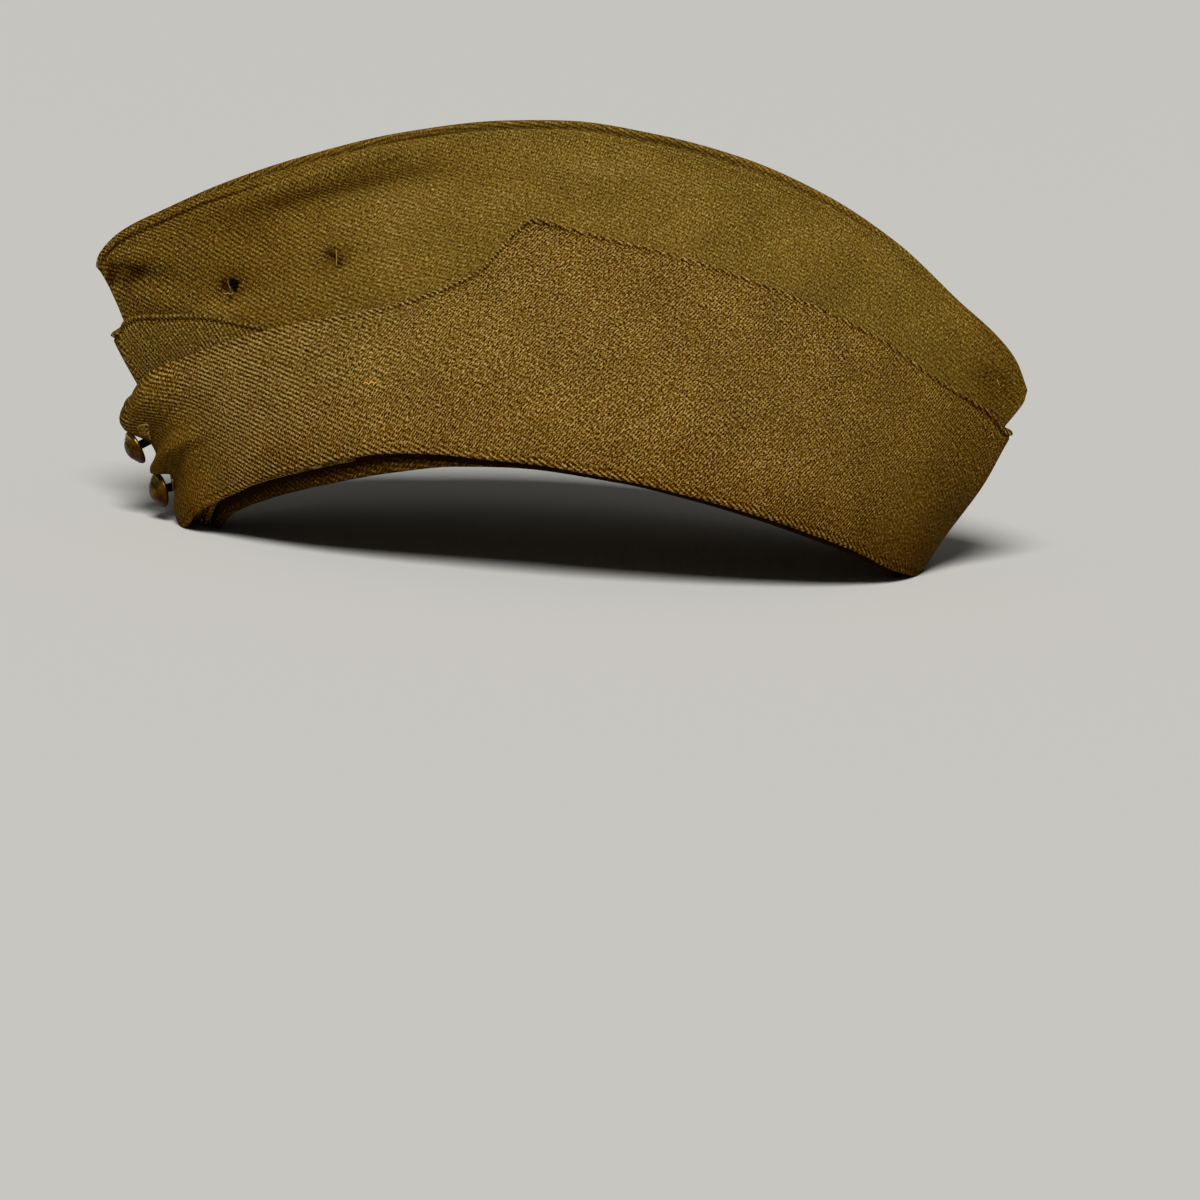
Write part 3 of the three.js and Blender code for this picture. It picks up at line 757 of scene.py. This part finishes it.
# How far the left curtain stands out at the centre front, in the swells beside the buttons, by
# the share
FRONT_STAND = [
    (0.04, 1.4), (0.113, 1.5), (0.155, 0.2), (0.232, 0), (0.268, 3.6), (0.285, 3.1),
    (0.305, 1.3), (0.325, 0.2), (0.358, 0.1), (0.395, 1.7), (0.425, 3.6), (0.448, 4.6),
    (0.468, 4.7), (0.486, 4.3), (0.504, 3.2), (0.52, 1.8), (0.534, 0.5), (0.545, 0),
]
CURTAIN_PLY = 2.1
# How hard the upper edge of a curtain is pressed, by the turn: soft in front, hard at the tip
TOP_PRESSED = [
    (0, 0.25), (50, 0.3), (62, 0.45), (76, 0.9), (92, 0.9), (104, 0.6), (130, 0.55), (152, 0.9),
]


def curtain_lift(turn, share, part, laps_over):
    """Distance of a curtain's inner face from the body: over the peak in front, close at the
    upper edge and a little away at the lower one behind, and for the left curtain over the
    right one's end and out in the swells between the buttons."""
    free = LAYER_GAP + mix(1.1, 0.1, part)
    on_peak = peak_lift(share) + PEAK_PLY + LAYER_GAP
    lift = mix(free, on_peak, 1 - ease(turn, 56, 68))
    if not laps_over:
        return lift
    over_end = 1 - ease(turn, 14, 26)
    at_front = 1 - ease(turn, 10, 34)
    return lift + (CURTAIN_PLY + LAYER_GAP) * over_end + through(FRONT_STAND, share) * at_front


for side, name, laps_over in ((1, "right", False), (-1, "left", True)):
    turn, part = np.meshgrid(np.linspace(-12, 180, 311), rows_towards_edges(101), indexing="ij")
    share = mix(through(CURTAIN_LOW, turn), through(CURTAIN_TOP, turn), part)
    middle = curtain_lift(turn, share, part, laps_over) + CURTAIN_PLY / 2
    low, high, first, _ = from_borders(layer(side, turn, share, middle))
    from_edge = np.minimum(np.minimum(low, high), first)
    pressed = mix(through(TOP_PRESSED, turn), 0.35, 1 - ease(low, 4, 10))
    half, relief_out = bagged(from_edge, CURTAIN_PLY, pressed)
    outer = layer(side, turn, share, middle + half + relief_out)
    inner = layer(side, turn, share, middle - half)
    for grid in (outer, inner):
        grid[-1, :, 1] = 0
    cloth = cloth_at(
        side, turn, share, lift=(8, 2), base=0.35, grain=-1, eased=0.45, swing=(12, 5, 24)
    )
    cloth += np.array([3.1, 7.7])
    # Wear has felted the cloth below and beside the buttons, so that the weave shows less there
    felted = (1 - ease(turn, 14, 34)) * (1 - ease(share, 0.26, 0.44))
    beside = (1 - ease(turn, 4, 15)) * (1 - ease(share, 0.38, 0.46))
    nap = 1.1 - 0.25 * ease(turn, 120, 150) - 0.35 * (1 - ease(turn, 12, 30))
    nap -= 0.3 * np.maximum(felted, beside)
    wale = mix(mix(1, 0.35, ease(turn, 38, 72)), 1.2, np.exp(-((from_edge / 2.2) ** 2)))
    wale *= 1 - 0.6 * felted
    # Painted shade in the pressed groove, towards the back and the front, where the curtain turns
    # away from the light, and along the lower edge; and a dirt spot under the tip
    tip = np.exp(-(((turn - 86.5) / 2.2) ** 2) - (high / 3) ** 2)
    soil_and_painted_light = 0.3 * pressed * groove_at(from_edge) + 0.1 * ease(turn, 120, 165) * (1 - part)
    soil_and_painted_light += 0.1 * ease(turn, 142, 166) + 0.25 * tip
    soil_and_painted_light += 0.12 * (1 - ease(turn, 12, 34)) + 0.1 * (1 - ease(low, 2, 16)) * ease(turn, 60, 140)
    soil_and_painted_light += 0.13 * np.exp(-(((turn - 40) / 13) ** 2)) * (1 - ease(share, 0.1, 0.2))
    # Light has faded a broad patch beside the front, and least the lower edge, which is browner
    faded = 0.5 * np.exp(-(((turn - 60) / 18) ** 2)) * ease(share, 0.2, 0.35)
    faded -= 0.6 * (1 - ease(share, 0.1, 0.35))
    marks = {"nap": nap, "soil_and_painted_light": soil_and_painted_light, "wale": wale, "faded": faded}
    name = f"curtain_{name}_turned_up"
    curtain = sheet(name, outer, inner, cloth, **marks)
    curtain.data.materials.append(serge)
    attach(curtain, "root")
    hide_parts(name.removesuffix("_turned_up"))

# Buttonholes and fleck
# Brown thread that works the ends of the two buttonholes, where it shows above the buttons, and
# a yellow fleck of lint and a pale fibre that cling to the left flap.


def flap_face(turn, share):
    """The left curtain's outer face, away from its edges."""
    low, high = through(CURTAIN_LOW, turn), through(CURTAIN_TOP, turn)
    part = np.clip((share - low) / (high - low), 0, 1)
    return layer(-1, turn, share, curtain_lift(turn, share, part, True) + CURTAIN_PLY)


worked = strands(
    "buttonhole_threads",
    flap_face,
    [
        ((4.2, 0.4105), (6.8, 0.413), (9.0, 0.402), 0.25, 0.24, 0.3),
        ((6.4, 0.41), (9.4, 0.4), (8.9, 0.389), 0.25, 0.24, 0.36),
        ((4.2, 0.41), (7.1, 0.4), (7.5, 0.385), 0.3, 0.4, 0.22),
        ((3.2, 0.405), (5.2, 0.396), (6.0, 0.385), 0.3, 0.4, 0.26),
        ((3.2, 0.395), (2.9, 0.402), (4.3, 0.409), 0.25, 0.22, 0.3),
        ((3.1, 0.394), (4.4, 0.387), (7.2, 0.384), 0.3, 0.24, 0.42),
        ((8.8, 0.401), (6.0, 0.398), (3.4, 0.394), 0.3, 0.36, 0.2),
        ((8.6, 0.391), (6.5, 0.391), (4.4, 0.391), 0.5, 0.24, 0.38),
        ((7.4, 0.3845), (6.2, 0.381), (4.9, 0.379), 0.4, 0.3, 0.7),
        ((5.0, 0.3785), (4.0, 0.373), (2.8, 0.37), 0.3, 0.26, 0.55),
        ((1.0, 0.232), (1.1, 0.215), (0.5, 0.198), 0.3, 0.22, 0.6),
        ((0.5, 0.226), (0.5, 0.206), (0.0, 0.186), 0.35, 0.22, 0.45),
        ((0.9, 0.206), (0.6, 0.19), (0.1, 0.176), 0.3, 0.22, 0.65),
    ],
)
lint = strands(
    "lint_on_flap",
    flap_face,
    [
        ((60.2, 0.277), (60.6, 0.281), (61.0, 0.275), 0.2, 0.2, 0.9),
        ((60.9, 0.272), (61.4, 0.28), (61.8, 0.276), 0.25, 0.22, 1.0),
        ((61.6, 0.27), (61.9, 0.275), (62.2, 0.281), 0.2, 0.18, 0.8),
        ((153.8, 0.275), (154.5, 0.271), (155.4, 0.27), 0.1, 0.12, 0.55),
    ],
)

# Buttons
# Two small domed bronze buttons with a raised rim, on shanks through the two curtains. In the
# middle of each is a plain low boss with a lined ring round it.

# Each button: its centre, and how many degrees down and how many to the left it faces
BUTTONS = [("upper", (-124.2, 0, 21.6), 27, 22), ("lower", (-116.4, 0, 9.4), 13, 27)]
# Radius of the domed face, and how many rings and how many points round it is made with
FACE_RADIUS, FACE_RINGS, ROUND_POINTS = 5.2, 40, 96
# From the rim over the back to the end of the shank: radius and height
BUTTON_BACK = [
    (5.25, -0.7), (5.15, -1.0), (4.9, -1.15), (4.2, -1.2), (1.5, -1.25), (1.3, -1.6),
    (1.3, -8.2), (0, -8.2),
]

# Bronze that has browned, with tarnish that varies at random. It is painted dark and reddish at
# the lower side as painted shade, and a paler golden brown at the upper front as painted light,
# where it is also smoother
bronze = bpy.data.materials.new("bronze_browned")
bronze.use_nodes = True
tree = bronze.node_tree
tree.nodes.clear()
place = add(tree, "TexCoord")
stain = add(tree, "TexNoise", {"Vector": place.outputs["Object"], "Scale": 420.0, "Detail": 4.0})
rubbed_and_lit = add(tree, "Attribute", attribute_name="rubbed_and_lit")
wear_and_light = add(tree, "Math", {0: rubbed_and_lit.outputs["Fac"], 1: 0.3, 2: stain}, operation="MULTIPLY_ADD")
tarnish_and_light = add(
    tree,
    "ValToRGB",
    {0: wear_and_light},
    stops=((0.2, "351604"), (0.36, "3e2004"), (0.52, "4c3408"), (0.7, "705318"), (0.85, "a4843c")),
)
rough = add(tree, "Math", {0: wear_and_light, 1: -0.4, 2: 0.65}, operation="MULTIPLY_ADD")
skin = add(tree, "BsdfPrincipled", {"Base Color": tarnish_and_light, "Roughness": rough, "Metallic": 1.0})
add(tree, "OutputMaterial", {0: skin})

for name, centre, down, left in BUTTONS:
    # The profile is a list of radius and height, turned about the button's axis
    face = np.linspace(0, FACE_RADIUS, FACE_RINGS)
    back_radius, back_level = np.array(BUTTON_BACK).T
    radius = np.concatenate([face, back_radius])
    dome = 2.9 * (1 - (face / 5.35) ** 2) - 0.45
    rim_bead = 0.22 * np.exp(-(((face - 4.75) / 0.25) ** 2))
    boss = 0.16 * (1 - ease(face, 2.6, 3.0))
    level = np.concatenate([dome + rim_bead + boss, back_level])
    bearing = np.linspace(0, 2 * np.pi, ROUND_POINTS + 1)[:-1]
    # Twenty-four lines in a ring 3.7 mm from the middle
    lined = 0.07 * np.sin(24 * bearing)[None] * np.exp(-(((radius - 3.7) / 0.35) ** 2))[:, None]
    lined[FACE_RINGS:] = 0
    tilt, swing = np.radians(down), np.radians(left)
    facing = -np.array([np.cos(tilt) * np.cos(swing), np.cos(tilt) * np.sin(swing), np.sin(tilt)])
    sideways = unit(np.cross(facing, [0, 0, 1.0]))
    upright = np.cross(sideways, facing)
    flat = radius[:, None, None] * (
        np.cos(bearing)[None, :, None] * sideways + np.sin(bearing)[None, :, None] * upright
    )
    points = np.array(centre) + flat + (level[:, None] + lined)[..., None] * facing
    faces = ring_faces(len(radius), ROUND_POINTS)
    # Painted light: the upper front of each button is paler and the lower side darker
    rubbed_and_lit = ((points - np.array(centre)) @ np.array([-0.45, 0, 0.9])).ravel() / FACE_RADIUS
    name = f"button_{name}_domed"
    button = piece(name, points.reshape(-1, 3), faces, None, {"rubbed_and_lit": rubbed_and_lit})
    button.data.materials.append(bronze)
    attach(button, "root")
    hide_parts(name.removesuffix("_domed"))

# Setting
# A plain pale floor, one big soft light high in front and a faint even light all round, and the
# camera of the photograph, rolled a little so that the cap slopes down to the right. Metres.
floor_mesh = bpy.data.meshes.new("floor")
far = 9.0
corners = [(-far, -far, 0), (far, -far, 0), (far, far, 0), (-far, far, 0)]
floor_mesh.from_pydata(corners, [], [(0, 1, 2, 3)])
floor = bpy.data.objects.new("floor", floor_mesh)
bpy.context.scene.collection.objects.link(floor)
paper = bpy.data.materials.new("paper_pale")
paper.use_nodes = True
inputs = paper.node_tree.nodes["Principled BSDF"].inputs
inputs["Base Color"].default_value = colour("cccac4")
inputs["Roughness"].default_value = 0.9
floor_mesh.materials.append(paper)

world = bpy.data.worlds.new("studio")
world.use_nodes = True
inputs = world.node_tree.nodes["Background"].inputs
inputs["Color"].default_value = colour("f2f2f0")
inputs["Strength"].default_value = 0.1
bpy.context.scene.world = world

sun = bpy.data.lights.new("lamp", "SUN")
sun.energy = 3.9
sun.angle = 0.35
lamp = bpy.data.objects.new("lamp", sun)
bpy.context.scene.collection.objects.link(lamp)
lamp.rotation_euler = (-Vector((-0.05, -1.0, 1.0))).to_track_quat("-Z", "Y").to_euler()

lens = bpy.data.cameras.new("camera")
lens.lens = 181.8
lens.sensor_width = 36
lens.clip_end = 30
camera = bpy.data.objects.new("camera", lens)
bpy.context.scene.collection.objects.link(camera)
stand = Vector((0.01641, -1.7753, 0.2976))
aim = Vector((0.01641, -0.00264, -0.01498))
ahead = (aim - stand).normalized()
level_right = ahead.cross(Vector((0, 0, 1))).normalized()
level_up = level_right.cross(ahead)
roll = np.radians(3.51)
right = level_right * np.cos(roll) + level_up * np.sin(roll)
up = level_up * np.cos(roll) - level_right * np.sin(roll)
camera.matrix_world = Matrix.Translation(stand) @ Matrix((right, up, -ahead)).transposed().to_4x4()
bpy.context.scene.camera = camera
bpy.context.scene.view_settings.view_transform = "Standard"
